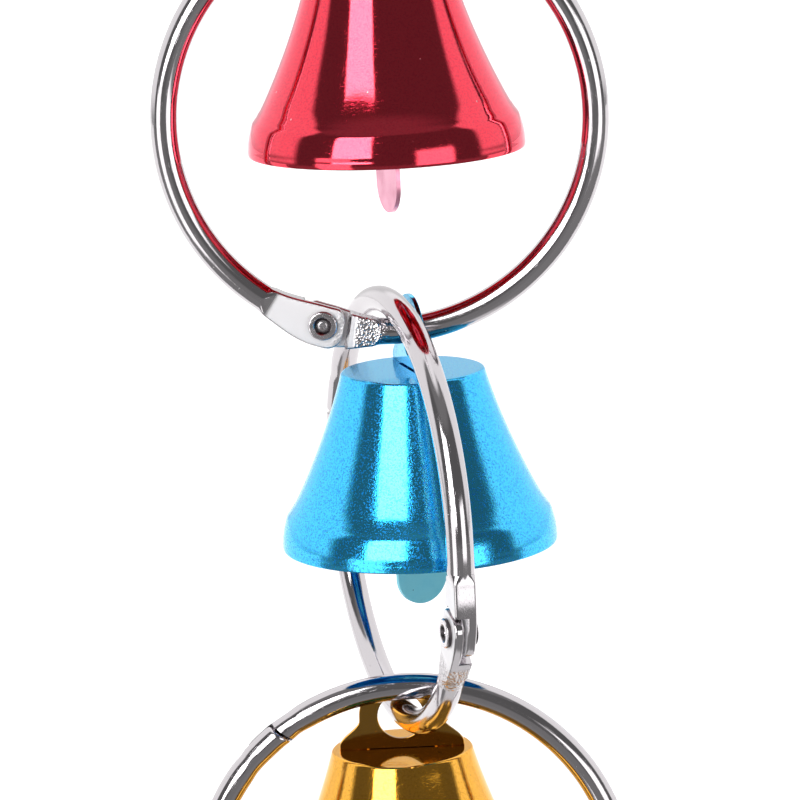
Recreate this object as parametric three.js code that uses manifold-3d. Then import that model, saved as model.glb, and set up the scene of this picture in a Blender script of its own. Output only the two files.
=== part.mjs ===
// Hanging bell bird toy: a chain of hinged snap rings with a flared bell inside each of the lower three.
// Millimetres, +Z up. The origin is where the cage bar bears on the inside of the hanging ring's top.
import * as THREE from 'three';
import { mergeVertices } from 'three/addons/utils/BufferGeometryUtils.js';
import Module from 'manifold-3d';

const wasm = await Module();
wasm.setup();

const degrees = THREE.MathUtils.degToRad;

// Rings
const RING_OUTER_D = 50;
const WIRE_D = 3;
const HANG_GAP = 0.3;
const EDGE_ON_YAW = 74;

// Hinge at one end of each half ring
const PADDLE_WIDTH = 4.9;
const TOP_PADDLE_LENGTH = 6.2;
const BOTTOM_PADDLE_LENGTH = 4.6;
const SHOULDER_BLEND = 1.4;
const PADDLE_STACK = 2.5;
const LAP_GAP = 0.3;
const STEP_CLEARANCE = 0.35;
const BLOCK_WIDTH = 3.2;
const BLEND_INSET = 0.03;
const RIVET_SHANK_D = 1.9;
const RIVET_HEAD_D = 3.3;
const RIVET_HEAD_HEIGHT = 0.45;
const RIVET_RECESS_D = 1.9;
const RIVET_RECESS_DEPTH = 0.35;
const RIVET_FLOOR_D = 1.5;
const RIVET_CLEARANCE = 0.15;
const SEAT_GAP = 0.1;

// Snap closure at the other end
const SNAP_LAP = 3.4;
const SNAP_END_GAP = 0.3;

// Bell shell
const BELL_RIM_D = 30.6;
const BELL_CROWN_D = 16;
const BELL_HEIGHT = 19.5;
const BELL_WALL = 0.5;
const CREASE_HEIGHT = 4.9;
const CREASE_INSET = 1.6;
const BOW_HEIGHT = 3.4;
const BOW_INSET = 0.6;
const CROWN_ROUND = 0.5;
const CONE_HOLLOW = 0.25;

// Hanger plate
const PLATE_THICKNESS = 0.5;
const PLATE_SHOULDER_WIDTH = 14;
const PLATE_NECK_WIDTH = 9.4;
const PLATE_SHOULDER_HEIGHT = 2.4;
const PLATE_BASE_HEIGHT = 0.5;
const PLATE_SHOULDER_ROUND = 0.5;
const EYE_D = 5.2;
const EYE_HEIGHT = 3.7;
const TONGUE_WIDTH = 4.4;
const TONGUE_EYE_D = 2.4;
const TONGUE_EYE_DROP = 3.8;
const TONGUE_WEB = 1;
const PRONG_WIDTH = 1.5;
const PRONG_REACH = 1.7;
const SLOT_CLEARANCE = 0.25;

// Clapper
const CLAPPER_THICKNESS = 0.5;
const CLAPPER_SHANK_WIDTH = 3;
const CLAPPER_PADDLE_WIDTH = 6.3;
const CLAPPER_PADDLE_LENGTH = 11;
const CLAPPER_SIDE_LENGTH = 1.9;
const CLAPPER_BELOW_RIM = 7;
const HOOK_BAR = 1;
const HOOK_INNER_D = 2.2;
const HOOK_MOUTH_FROM = -40;
const HOOK_MOUTH_TO = 10;

// Chain layout: hinge angles run from each ring's lowest point towards its own +X
const BELL_SIDE_GAP = 0.55;
const RINGS = [
  { name: 'hanging_ring', yaw: EDGE_ON_YAW, hinge: 68, topPaddleSide: 1 },
  { name: 'upper_ring', yaw: 0, hinge: -18, topPaddleSide: -1 },
  { name: 'middle_ring', yaw: -EDGE_ON_YAW, hinge: 68, topPaddleSide: 1 },
  { name: 'lower_ring', yaw: 0, hinge: 41, topPaddleSide: -1 },
];
const BELLS = [
  { name: 'red_bell', carrier: 0, side: 1, clapperTurn: 20, color: 0xc8102e },
  { name: 'blue_bell', carrier: 1, side: 1, clapperTurn: 15, color: 0x0a8fd6 },
  { name: 'gold_bell', carrier: 2, side: -1, clapperTurn: 20, color: 0xd9a600 },
];

// Facets
const WIRE_SIDES = 12;
const WIRE_STEP = 3;
const ARC_POINTS = 6;
const ROUND_POINTS = 12;
const CONE_STEPS = 6;
const RIVET_SIDES = 12;
const BELL_SIDES = 32;
const MERGE_DISTANCE = 1e-4;

// Derived sizes
const wireR = WIRE_D / 2;
const ringR = RING_OUTER_D / 2 - wireR;
const ringPitch = 2 * ringR - WIRE_D - HANG_GAP;
const crownUnderside = -BELL_WALL;
const tongueEyeZ = crownUnderside - TONGUE_EYE_DROP;
const plateToWire = wireR + PLATE_THICKNESS / 2 + BELL_SIDE_GAP;

const NICKEL = { color: 0xc9c8c8, metalness: 1, roughness: 0.14 };
const ANODISED = { metalness: 1, roughness: 0.12 };

function solidOf(geometry) {
  const bare = geometry.index ? geometry.toNonIndexed() : geometry.clone();
  bare.deleteAttribute('normal');
  bare.deleteAttribute('uv');
  const merged = mergeVertices(bare, MERGE_DISTANCE);
  const mesh = new wasm.Mesh({
    numProp: 3,
    vertProperties: Float32Array.from(merged.attributes.position.array),
    triVerts: Uint32Array.from(merged.index.array),
  });
  return new wasm.Manifold(mesh);
}

function geometryOf(solid) {
  const mesh = solid.getMesh();
  const geometry = new THREE.BufferGeometry();
  geometry.setAttribute('position', new THREE.BufferAttribute(mesh.vertProperties, 3));
  geometry.setIndex(new THREE.BufferAttribute(mesh.triVerts, 1));
  geometry.computeVertexNormals();
  return geometry;
}

function meshOf(name, solid, look) {
  const mesh = new THREE.Mesh(geometryOf(solid), new THREE.MeshStandardMaterial(look));
  mesh.name = name;
  return mesh;
}

// A flat outline drawn in X and Z, given a thickness between two Y values
function slab(shape, yFrom, yTo, curveSegments = ARC_POINTS) {
  const options = { depth: yTo - yFrom, bevelEnabled: false, curveSegments };
  const geometry = new THREE.ExtrudeGeometry(shape, options);
  geometry.rotateX(Math.PI / 2);
  geometry.translate(0, yTo, 0);
  return solidOf(geometry);
}

function box(width, depth, height, x, y, z) {
  const geometry = new THREE.BoxGeometry(width, depth, height);
  geometry.translate(x, y, z);
  return solidOf(geometry);
}

function lathe(points, sides) {
  return new THREE.LatheGeometry(points.map(([r, h]) => new THREE.Vector2(r, h)), sides);
}

// Point on a ring's centreline, or beside it by out, at an angle from the lowest point
function onRing(angle, out = 0) {
  const reach = ringR + out;
  return new THREE.Vector3(reach * Math.sin(angle), 0, -reach * Math.cos(angle));
}

class RingArc extends THREE.Curve {
  constructor(from, to) {
    super();
    this.from = from;
    this.to = to;
  }

  getPoint(t, target = new THREE.Vector3()) {
    return target.copy(onRing(this.from + (this.to - this.from) * t));
  }
}

function wire(from, to) {
  const section = new THREE.Shape();
  section.absarc(0, 0, wireR, 0, 2 * Math.PI);
  const steps = Math.ceil((Math.abs(to - from) * ringR) / WIRE_STEP);
  const path = new RingArc(from, to);
  const options = { steps, extrudePath: path, bevelEnabled: false, curveSegments: WIRE_SIDES / 2 };
  return solidOf(new THREE.ExtrudeGeometry(section, options));
}

// A stretch of the ring's band, half a width to each side of the centreline at both ends
function bandShape(from, to, halfFrom, halfTo) {
  const shape = new THREE.Shape();
  const rim = [];
  for (let i = 0; i <= ARC_POINTS; i += 1) {
    const t = i / ARC_POINTS;
    rim.push({ angle: from + (to - from) * t, half: halfFrom + (halfTo - halfFrom) * t });
  }
  const outer = rim.map(({ angle, half }) => onRing(angle, half));
  const inner = rim.reverse().map(({ angle, half }) => onRing(angle, -half));
  shape.setFromPoints([...outer, ...inner].map((p) => new THREE.Vector2(p.x, p.z)));
  return shape;
}

function discShape(x, z, radius) {
  const shape = new THREE.Shape();
  shape.absarc(x, z, radius, 0, 2 * Math.PI);
  return shape;
}

// One half ring: wire, stepped hinge paddle with its rivet hole, and a half-lapped snap end
function halfRing(hinge, turn, paddleSide, paddleLength) {
  const perMm = turn / ringR;
  const snap = hinge + turn * Math.PI;
  const shoulder = hinge + paddleLength * perMm;
  const stackHalf = PADDLE_STACK / 2;
  const lapHalf = LAP_GAP / 2;
  const paddleR = PADDLE_WIDTH / 2;
  const pivot = onRing(hinge);

  const lapFrom = paddleSide > 0 ? lapHalf : -stackHalf;
  const lapTo = paddleSide > 0 ? stackHalf : -lapHalf;
  const blendEnd = shoulder + SHOULDER_BLEND * perMm;
  const blendHalf = wireR - BLEND_INSET;
  const clearR = paddleR + STEP_CLEARANCE;
  const neck = bandShape(hinge, blendEnd, paddleR, blendHalf);
  const block = bandShape(hinge + clearR * perMm, blendEnd, BLOCK_WIDTH / 2, blendHalf);

  let solid = wire(shoulder, snap + (SNAP_LAP / 2) * perMm);
  solid = solid.add(slab(neck, lapFrom, lapTo));
  solid = solid.add(slab(discShape(pivot.x, pivot.z, paddleR), lapFrom, lapTo));
  const otherPaddle = slab(discShape(pivot.x, pivot.z, clearR), -RING_OUTER_D, RING_OUTER_D, ROUND_POINTS);
  solid = solid.add(slab(block, -stackHalf, stackHalf).subtract(otherPaddle));
  const hole = discShape(pivot.x, pivot.z, RIVET_SHANK_D / 2 + RIVET_CLEARANCE);
  solid = solid.subtract(slab(hole, -RING_OUTER_D, RING_OUTER_D));

  const cutFrom = snap - (SNAP_LAP / 2 + SNAP_END_GAP) * perMm;
  const cutTo = snap + (SNAP_LAP + SNAP_END_GAP) * perMm;
  const cut = bandShape(cutFrom, cutTo, WIRE_D, WIRE_D);
  const tongueSide = -paddleSide;
  const cutter = tongueSide > 0 ? slab(cut, -RING_OUTER_D, lapHalf) : slab(cut, -lapHalf, RING_OUTER_D);
  return solid.subtract(cutter);
}

// Tubular rivet with a rolled head on each face of the paddles
function rivet(hinge) {
  const seat = PADDLE_STACK / 2 + SEAT_GAP;
  const top = seat + RIVET_HEAD_HEIGHT;
  const floor = top - RIVET_RECESS_DEPTH;
  const headR = RIVET_HEAD_D / 2;
  const shankR = RIVET_SHANK_D / 2;
  const recessR = RIVET_RECESS_D / 2;
  const rollR = (headR + recessR) / 2;
  const half = [
    [shankR, seat],
    [headR, seat],
    [headR, (seat + top) / 2],
    [rollR, top],
    [recessR, (floor + top) / 2],
    [RIVET_FLOOR_D / 2, floor],
    [0, floor],
  ];
  const mirrored = half.map(([r, h]) => [r, -h]).reverse();
  const geometry = lathe([...mirrored, ...half], RIVET_SIDES);
  const pivot = onRing(hinge);
  geometry.translate(pivot.x, pivot.y, pivot.z);
  return solidOf(geometry);
}

function ringParts({ name, hinge, topPaddleSide }) {
  const angle = degrees(hinge);
  const downTurn = hinge < 0 ? 1 : -1;
  const top = halfRing(angle, -downTurn, topPaddleSide, TOP_PADDLE_LENGTH);
  const bottom = halfRing(angle, downTurn, -topPaddleSide, BOTTOM_PADDLE_LENGTH);
  return [
    meshOf(`${name}_top_half`, top, NICKEL),
    meshOf(`${name}_bottom_half`, bottom, NICKEL),
    meshOf(`${name}_rivet`, rivet(angle), NICKEL),
  ];
}

// Outside of the bell from the crown's edge to the rim: a hollow cone, a crease and the sound bow
function bellProfile() {
  const crownR = BELL_CROWN_D / 2;
  const rimR = BELL_RIM_D / 2;
  const creaseR = rimR - CREASE_INSET;
  const creaseZ = CREASE_HEIGHT - BELL_HEIGHT;
  const coneFrom = -CROWN_ROUND;
  const roundStep = CROWN_ROUND * (1 - Math.SQRT1_2);
  const points = [
    [crownR - CROWN_ROUND, 0],
    [crownR - roundStep, -roundStep],
  ];
  for (let i = 0; i <= CONE_STEPS; i += 1) {
    const t = i / CONE_STEPS;
    const radius = crownR + (creaseR - crownR) * t - CONE_HOLLOW * 4 * t * (1 - t);
    points.push([radius, coneFrom + (creaseZ - coneFrom) * t]);
  }
  points.push([rimR - BOW_INSET, BOW_HEIGHT - BELL_HEIGHT]);
  points.push([rimR, -BELL_HEIGHT]);
  return points;
}

function bellShell() {
  const outside = bellProfile();
  const inside = outside.slice(1).map(([r, z]) => [r - BELL_WALL, z]).reverse();
  const lip = inside[0];
  const crownInside = BELL_CROWN_D / 2 - CROWN_ROUND - BELL_WALL;
  const walls = inside.slice(1).filter(([, z]) => z < crownUnderside * 2);
  const profile = [[0, 0], ...outside, lip, ...walls, [crownInside, crownUnderside], [0, crownUnderside]];
  const geometry = lathe(profile.reverse(), BELL_SIDES);
  geometry.rotateX(Math.PI / 2);
  const slotWidth = TONGUE_WIDTH + 2 * (PRONG_WIDTH + SLOT_CLEARANCE);
  const slot = box(slotWidth, PLATE_THICKNESS + 2 * SLOT_CLEARANCE, 4 * BELL_WALL, 0, 0, 0);
  return solidOf(geometry).subtract(slot);
}

// Stamped plate: shoulders on the crown, eye for the carrier wire, tongue through the slot, bent prongs
function hangerPlate() {
  const base = SEAT_GAP;
  const halfShoulder = PLATE_SHOULDER_WIDTH / 2;
  const halfNeck = PLATE_NECK_WIDTH / 2;
  const shoulderTop = base + PLATE_SHOULDER_HEIGHT;
  const roundX = halfNeck + PLATE_SHOULDER_ROUND;
  const baseTop = base + PLATE_BASE_HEIGHT;
  const outline = new THREE.Shape();
  outline.moveTo(-halfShoulder, base);
  outline.lineTo(halfShoulder, base);
  outline.lineTo(halfShoulder, baseTop);
  outline.quadraticCurveTo(roundX, shoulderTop, halfNeck, shoulderTop);
  outline.lineTo(halfNeck, EYE_HEIGHT);
  outline.absarc(0, EYE_HEIGHT, halfNeck, 0, Math.PI);
  outline.lineTo(-halfNeck, shoulderTop);
  outline.quadraticCurveTo(-roundX, shoulderTop, -halfShoulder, baseTop);
  outline.closePath();
  const halfPlate = PLATE_THICKNESS / 2;
  let solid = slab(outline, -halfPlate, halfPlate);

  const tongueEnd = tongueEyeZ - TONGUE_EYE_D / 2 - TONGUE_WEB;
  const halfTongue = TONGUE_WIDTH / 2;
  const tongue = new THREE.Shape();
  tongue.moveTo(-halfTongue, baseTop);
  tongue.lineTo(-halfTongue, tongueEnd + halfTongue);
  tongue.absarc(0, tongueEnd + halfTongue, halfTongue, Math.PI, 2 * Math.PI);
  tongue.lineTo(halfTongue, baseTop);
  tongue.closePath();
  solid = solid.add(slab(tongue, -halfPlate, halfPlate));

  const prongTop = crownUnderside - SEAT_GAP;
  const prongBottom = prongTop - PLATE_THICKNESS;
  for (const side of [-1, 1]) {
    const x = side * (halfTongue + PRONG_WIDTH / 2);
    const legHeight = baseTop - prongBottom;
    const leg = box(PRONG_WIDTH, PLATE_THICKNESS, legHeight, x, 0, prongBottom + legHeight / 2);
    const footY = (side * (PRONG_REACH - halfPlate)) / 2;
    const footDepth = PRONG_REACH + halfPlate;
    const foot = box(PRONG_WIDTH, footDepth, PLATE_THICKNESS, x, footY, prongBottom + PLATE_THICKNESS / 2);
    solid = solid.add(leg).add(foot);
  }
  const eye = discShape(0, EYE_HEIGHT, EYE_D / 2);
  const tongueEye = discShape(0, tongueEyeZ, TONGUE_EYE_D / 2);
  const through = PLATE_THICKNESS;
  solid = solid.subtract(slab(eye, -through, through, ROUND_POINTS));
  return solid.subtract(slab(tongueEye, -through, through, ROUND_POINTS));
}

// Flat stamped clapper: an open hook through the tongue's eye, a shank and a rounded paddle
function clapper() {
  const hookR = HOOK_INNER_D / 2;
  const barTop = tongueEyeZ - TONGUE_EYE_D / 2 + HANG_GAP + HOOK_BAR;
  const hookZ = barTop - HOOK_BAR - hookR;
  const tip = -BELL_HEIGHT - CLAPPER_BELOW_RIM;
  const paddleR = CLAPPER_PADDLE_WIDTH / 2;
  const half = CLAPPER_SHANK_WIDTH / 2;
  const paddleTop = tip + CLAPPER_PADDLE_LENGTH;
  const shankTop = hookZ - hookR - HOOK_BAR / 2;

  const blade = new THREE.Shape();
  blade.moveTo(-half, shankTop);
  blade.lineTo(-half, paddleTop);
  blade.lineTo(-paddleR, tip + paddleR + CLAPPER_SIDE_LENGTH);
  blade.lineTo(-paddleR, tip + paddleR);
  blade.absarc(0, tip + paddleR, paddleR, Math.PI, 2 * Math.PI);
  blade.lineTo(paddleR, tip + paddleR + CLAPPER_SIDE_LENGTH);
  blade.lineTo(half, paddleTop);
  blade.lineTo(half, shankTop);
  blade.closePath();

  const hook = discShape(0, hookZ, hookR + HOOK_BAR);
  const bore = discShape(0, hookZ, hookR);
  const mouth = new THREE.Shape();
  mouth.moveTo(0, hookZ);
  mouth.absarc(0, hookZ, 2 * hookR + HOOK_BAR, degrees(HOOK_MOUTH_FROM), degrees(HOOK_MOUTH_TO));
  mouth.closePath();

  const halfThick = CLAPPER_THICKNESS / 2;
  const cutHalf = CLAPPER_THICKNESS;
  const open = slab(bore, -cutHalf, cutHalf, ROUND_POINTS).add(slab(mouth, -cutHalf, cutHalf));
  const head = slab(hook, -halfThick, halfThick, ROUND_POINTS).subtract(open);
  return slab(blade, -halfThick, halfThick).add(head);
}

function bellGroup({ name, clapperTurn, color }, plateYaw) {
  const look = { ...ANODISED, color };
  const group = new THREE.Group();
  const swing = meshOf(`${name}_clapper`, clapper(), look);
  swing.rotation.z = Math.PI / 2 + degrees(clapperTurn);
  group.add(meshOf(`${name}_shell`, bellShell(), look));
  group.add(meshOf(`${name}_hanger`, hangerPlate(), look));
  group.add(swing);
  group.rotation.z = plateYaw;
  return group;
}

const toy = new THREE.Group();
const rings = RINGS.map((spec, i) => {
  const group = new THREE.Group();
  group.add(...ringParts(spec));
  group.rotation.z = degrees(spec.yaw);
  group.position.z = -(ringR - wireR) - i * ringPitch;
  toy.add(group);
  return group;
});

// Each plate lies along the ring that hangs beside it on the carrier's wire
for (const spec of BELLS) {
  const carrier = rings[spec.carrier];
  const plateYaw = degrees(RINGS[spec.carrier + 1].yaw - RINGS[spec.carrier].yaw);
  const offset = (spec.side * plateToWire) / Math.abs(Math.sin(plateYaw));
  const rise = ringR - Math.sqrt(ringR * ringR - offset * offset);
  const wireZ = -ringR + rise;
  const bell = bellGroup(spec, plateYaw);
  bell.position.set(offset, 0, wireZ + wireR + HANG_GAP - EYE_D / 2 - EYE_HEIGHT);
  carrier.add(bell);
}

export default toy;
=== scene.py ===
"""Hanging bell bird toy: flared bells inside a chain of hinged snap rings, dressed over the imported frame."""
from math import asin, atan2, ceil, cos, exp, floor, hypot, pi, radians, sin, sqrt, tau

import bmesh
import bpy
from bpy.props import FloatProperty, FloatVectorProperty, PointerProperty
from mathutils import Matrix, Vector


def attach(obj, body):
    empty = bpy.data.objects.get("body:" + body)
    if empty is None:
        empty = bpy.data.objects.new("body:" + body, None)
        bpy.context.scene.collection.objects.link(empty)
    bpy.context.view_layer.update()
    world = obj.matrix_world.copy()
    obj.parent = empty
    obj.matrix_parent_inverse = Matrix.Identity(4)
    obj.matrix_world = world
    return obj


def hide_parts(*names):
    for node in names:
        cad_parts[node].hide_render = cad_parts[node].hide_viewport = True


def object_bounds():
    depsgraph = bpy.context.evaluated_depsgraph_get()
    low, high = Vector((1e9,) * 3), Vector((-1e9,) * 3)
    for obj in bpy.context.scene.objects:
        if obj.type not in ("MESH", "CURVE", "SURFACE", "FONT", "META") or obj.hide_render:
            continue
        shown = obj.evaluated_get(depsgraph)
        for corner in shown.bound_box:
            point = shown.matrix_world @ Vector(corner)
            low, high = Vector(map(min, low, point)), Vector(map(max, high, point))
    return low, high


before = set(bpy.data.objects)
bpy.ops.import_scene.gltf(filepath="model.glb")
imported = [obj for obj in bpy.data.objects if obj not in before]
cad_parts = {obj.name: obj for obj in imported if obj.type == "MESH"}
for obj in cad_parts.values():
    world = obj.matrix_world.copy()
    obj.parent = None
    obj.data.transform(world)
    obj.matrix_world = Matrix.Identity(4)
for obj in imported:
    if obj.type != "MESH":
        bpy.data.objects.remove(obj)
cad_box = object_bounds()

bl_info = {
    "name": "Hanging bell bird toy",
    "version": (1, 0, 0),
    "blender": (4, 5, 0),
    "location": "3D View > Sidebar > Bell toy",
    "description": "Builds the rings, bells, hangers and clappers of a hanging bell bird toy",
    "category": "Object",
}

MM = 0.001
ORIGIN = Vector((0, 0, 0))
ALONG = Vector((1, 0, 0))
FORWARD = Vector((0, 1, 0))
UP = Vector((0, 0, 1))
QUARTER = pi / 2

# Chain: yaw of each ring, its hinge's angle from its lowest point, and the side of the top half's paddle
EDGE_ON_YAW = radians(74)
RINGS = (
    {"name": "hanging_ring", "yaw": EDGE_ON_YAW, "hinge": radians(68), "top_side": 1},
    {"name": "upper_ring", "yaw": 0.0, "hinge": radians(-18), "top_side": -1},
    {"name": "middle_ring", "yaw": -EDGE_ON_YAW, "hinge": radians(68), "top_side": 1},
    {"name": "lower_ring", "yaw": 0.0, "hinge": radians(41), "top_side": -1},
)
# The ring that each bell hangs on, the side of its lowest point, and how far the clapper is turned
BELLS = (
    {"name": "red", "carrier": 0, "side": 1, "clapper_turn": radians(20)},
    {"name": "blue", "carrier": 1, "side": 1, "clapper_turn": radians(15)},
    {"name": "gold", "carrier": 2, "side": -1, "clapper_turn": radians(20)},
)

# Mesh fineness
SECTION_POINTS = 40
BELL_STEPS = 144
RIVET_STEPS = 48
ROUND_STEPS = 24
BURR_STEPS = 2
SHARP_ANGLE = radians(32)
SHEET_SHARP_ANGLE = radians(18)
MERGE = 1e-5


def length(name, description, millimetres):
    return FloatProperty(name=name, description=description, default=millimetres * MM, unit="LENGTH",
                         precision=5)


def colour(name, description, value):
    return FloatVectorProperty(name=name, description=description, default=value, subtype="COLOR", size=4,
                               min=0, max=1)


def factor(name, description, value):
    return FloatProperty(name=name, description=description, default=value, subtype="FACTOR", min=0, max=1)


class RingSizes(bpy.types.PropertyGroup):
    """Sizes of the snap rings and their rivets"""

    outer_d: length("Ring diameter", "Across a ring, outside", 50)
    wire_d: length("Wire diameter", "Thickness of the round wire", 3)
    hang_gap: length("Hanging gap", "Between a wire and what hangs on it", 0.3)
    paddle_end: length("Paddle end", "From the rivet to the cut end of a paddle", 2.3)
    paddle_outer: length("Paddle outer half", "From the wire's middle to a paddle's outer edge", 2.5)
    paddle_inner: length("Paddle inner half", "From the wire's middle to a paddle's inner edge", 2.2)
    outer_corner: length("Outer corner", "Rounding of a paddle's outer corner", 1.65)
    inner_corner: length("Inner corner", "Rounding of a paddle's inner corner", 1.15)
    top_paddle: length("Top paddle length", "From the rivet to the top half's shoulder", 6.2)
    bottom_paddle: length("Bottom paddle length", "From the rivet to the bottom half's shoulder", 5.5)
    blend: length("Shoulder blend", "Length over which the flat becomes round wire", 1.1)
    stack: length("Paddle stack", "Thickness of both paddles together", 2.5)
    lap_gap: length("Lap gap", "Between two lapped faces", 0.3)
    step: length("Lap step", "From the rivet to the step of the lap", 2.82)
    edge: length("Pressed edge", "Rounding of the pressed flat's edges", 0.34)
    snap_lap: length("Snap lap", "Length of the snap closure's lap", 3.4)
    snap_gap: length("Snap gap", "Between a snap tongue's end and its seat", 0.3)
    snap_slant: length("Snap slant", "How far the snap's seam leans across the wire", 0.45)
    rivet_head_d: length("Rivet head", "Across the rolled head of a rivet", 3.24)
    rivet_shank_d: length("Rivet shank", "Across the shank of a rivet", 1.9)
    rivet_head: length("Rivet head height", "Height of the rolled head", 0.44)
    rivet_recess: length("Rivet recess", "Depth of the hollow in the head", 0.34)
    seat_gap: length("Seat gap", "Between a clinched seat and what it holds", 0.1)
    seat_show: length("Shown seat gap", "What is seen of a clinched seat's gap", 0.02)


class BellSizes(bpy.types.PropertyGroup):
    """Sizes of the spun bell shells"""

    rim_d: length("Rim diameter", "Across the rim", 30.6)
    crown_d: length("Crown diameter", "Across the crown", 16)
    height: length("Height", "From crown to rim", 19.5)
    wall: length("Wall", "Thickness of the sheet", 0.5)
    crease_height: length("Crease height", "From the rim up to the crease", 4.9)
    crease_inset: length("Crease inset", "From the rim in to the crease", 1.6)
    bow_height: length("Bow height", "From the rim up to the bow's edge", 3.4)
    bow_inset: length("Bow inset", "From the rim in to the bow's edge", 0.6)
    crown_round: length("Crown round", "Rounding of the crown's edge", 0.4)
    hollow: length("Cone hollow", "How far the cone bows in", 0.42)
    side_gap: length("Side gap", "Between a hanger and the ring beside it", 0.55)


class SheetSizes(bpy.types.PropertyGroup):
    """Sizes of the stamped hangers and clappers"""

    thickness: length("Sheet thickness", "Thickness of the stamped sheet", 0.5)
    burr: length("Edge round", "Rounding of the stamped edges", 0.08)
    shoulder_width: length("Shoulder width", "Across a hanger's foot", 14)
    shoulder_height: length("Shoulder height", "From a hanger's foot to its neck", 3.3)
    base_height: length("Base height", "Upright edge of a hanger's foot", 0.5)
    neck_width: length("Neck width", "Across a hanger's round head", 9.4)
    eye_d: length("Eye", "Hole for the wire", 5.2)
    eye_height: length("Eye height", "From the crown to the eye's middle", 3.7)
    tongue_width: length("Tongue width", "Across the tongue in the slot", 4.4)
    tongue_eye_d: length("Tongue eye", "Hole for the clapper's hook", 2.4)
    tongue_drop: length("Tongue drop", "From the crown's underside to the hook's hole", 3.8)
    tongue_web: length("Tongue web", "Sheet below the hook's hole", 1)
    prong_width: length("Prong width", "Across a bent prong", 1.5)
    prong_reach: length("Prong reach", "How far a bent prong stands out", 1.7)
    slot_clearance: length("Slot clearance", "Between tongue and slot", 0.25)
    shank_width: length("Clapper shank", "Across a clapper's shank", 3)
    blade_width: length("Clapper blade", "Across a clapper's blade", 6.3)
    blade_length: length("Clapper blade length", "From a clapper's tip to its shank", 11)
    blade_side: length("Clapper side", "Straight side of a clapper's blade", 1.9)
    below_rim: length("Below the rim", "How far a clapper hangs below the rim", 7)
    hook_bar: length("Hook bar", "Width of the clapper's hook", 1)
    hook_d: length("Hook bore", "Across the inside of the hook", 2.2)


class ToyFinish(bpy.types.PropertyGroup):
    """Colours and gloss of the metals"""

    nickel: colour("Nickel", "Plated wire and rivets", (0.58, 0.55, 0.57, 1))
    red: colour("Red", "Red anodised bell", (0.82, 0.040, 0.074, 1))
    blue: colour("Blue", "Blue anodised bell", (0.045, 0.57, 0.92, 1))
    gold: colour("Gold", "Gold anodised bell", (0.88, 0.43, 0.045, 1))
    wire_roughness: factor("Wire roughness", "Gloss of the plating", 0.07)
    bell_roughness: factor("Bell roughness", "Gloss of the bells", 0.045)


class BellToy(bpy.types.PropertyGroup):
    """All settings of the toy"""

    ring: PointerProperty(type=RingSizes, name="Rings", description="Sizes of the snap rings")
    bell: PointerProperty(type=BellSizes, name="Bells", description="Sizes of the bell shells")
    sheet: PointerProperty(type=SheetSizes, name="Sheet", description="Sizes of hangers and clappers")
    finish: PointerProperty(type=ToyFinish, name="Finish", description="Colours and gloss of the metals")


class Millimetres:
    """A group's lengths as plain numbers in millimetres."""

    def __init__(self, group):
        for key in group.__annotations__:
            setattr(self, key, getattr(group, key) / MM)


def sizes(toy):
    """Lengths of the rings, the bell shells and the sheet."""
    return Millimetres(toy.ring), Millimetres(toy.bell), Millimetres(toy.sheet)


def smooth(t):
    """Even S-curve from 0 to 1."""
    t = min(max(t, 0.0), 1.0)
    return t * t * (3 - 2 * t)


def mix(a, b, t):
    return a + (b - a) * t


def of_kind(kind, geom):
    return [item for item in geom if isinstance(item, kind)]


def unique(items):
    """Each item once, in the order in which it first comes."""
    return list(dict.fromkeys(items))


# Where things hang
def ring_radius(ring):
    return (ring.outer_d - ring.wire_d) / 2


def ring_place(ring, index):
    reach = ring_radius(ring)
    pitch = 2 * reach - ring.wire_d - ring.hang_gap
    drop = reach - ring.wire_d / 2 + index * pitch
    return Matrix.Translation((0, 0, -drop)) @ Matrix.Rotation(RINGS[index]["yaw"], 4, "Z")


def bell_place(toy, bell):
    """The bell's own frame: the middle of its crown, with its hanger along X."""
    ring, shell, sheet = sizes(toy)
    carrier = bell["carrier"]
    turn = RINGS[carrier + 1]["yaw"] - RINGS[carrier]["yaw"]
    beside = ring.wire_d / 2 + sheet.thickness / 2 + shell.side_gap
    offset = bell["side"] * beside / abs(sin(turn))
    wire_z = -sqrt(ring_radius(ring) ** 2 - offset ** 2)
    crown_z = wire_z + ring.wire_d / 2 + ring.hang_gap - sheet.eye_d / 2 - sheet.eye_height
    hung = Matrix.Translation((offset, 0, crown_z)) @ Matrix.Rotation(turn, 4, "Z")
    return ring_place(ring, carrier) @ hung


# Shared steps of shaping
class Outline:
    """A line drawn in X and an upright axis, as straight runs and bends."""

    def __init__(self, bm, x, height, upright=UP):
        self.bm = bm
        self.upright = upright
        self.axis = ALONG.cross(upright)
        self.first = self.tip = bm.verts.new(self.spot(x, height))

    def spot(self, x, height):
        return ALONG * x + self.upright * height

    def run(self, *points):
        for x, height in points:
            self.tip = bmesh.ops.extrude_vert_indiv(self.bm, verts=[self.tip])["verts"][0]
            self.tip.co = self.spot(x, height)

    def bend(self, x, height, angle, steps=ROUND_STEPS):
        arc = bmesh.ops.spin(self.bm, geom=[self.tip], cent=self.spot(x, height), axis=self.axis, angle=angle,
                             steps=steps)
        self.tip = of_kind(bmesh.types.BMVert, arc["geom_last"])[0]

    def close(self):
        self.bm.edges.new((self.tip, self.first))


def spin_round(bm, axis, steps):
    """Turn the drawn profile into a closed round shape."""
    profile = bm.verts[:] + bm.edges[:]
    bmesh.ops.spin(bm, geom=profile, cent=ORIGIN, axis=axis, angle=tau, steps=steps, use_merge=True)
    bmesh.ops.remove_doubles(bm, verts=bm.verts, dist=MERGE)


def round_edges(bm, edges, offset):
    bmesh.ops.bevel(bm, geom=edges, offset=offset, offset_type="OFFSET", segments=BURR_STEPS, profile=0.5,
                    affect="EDGES", material=-1, clamp_overlap=True)


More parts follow.
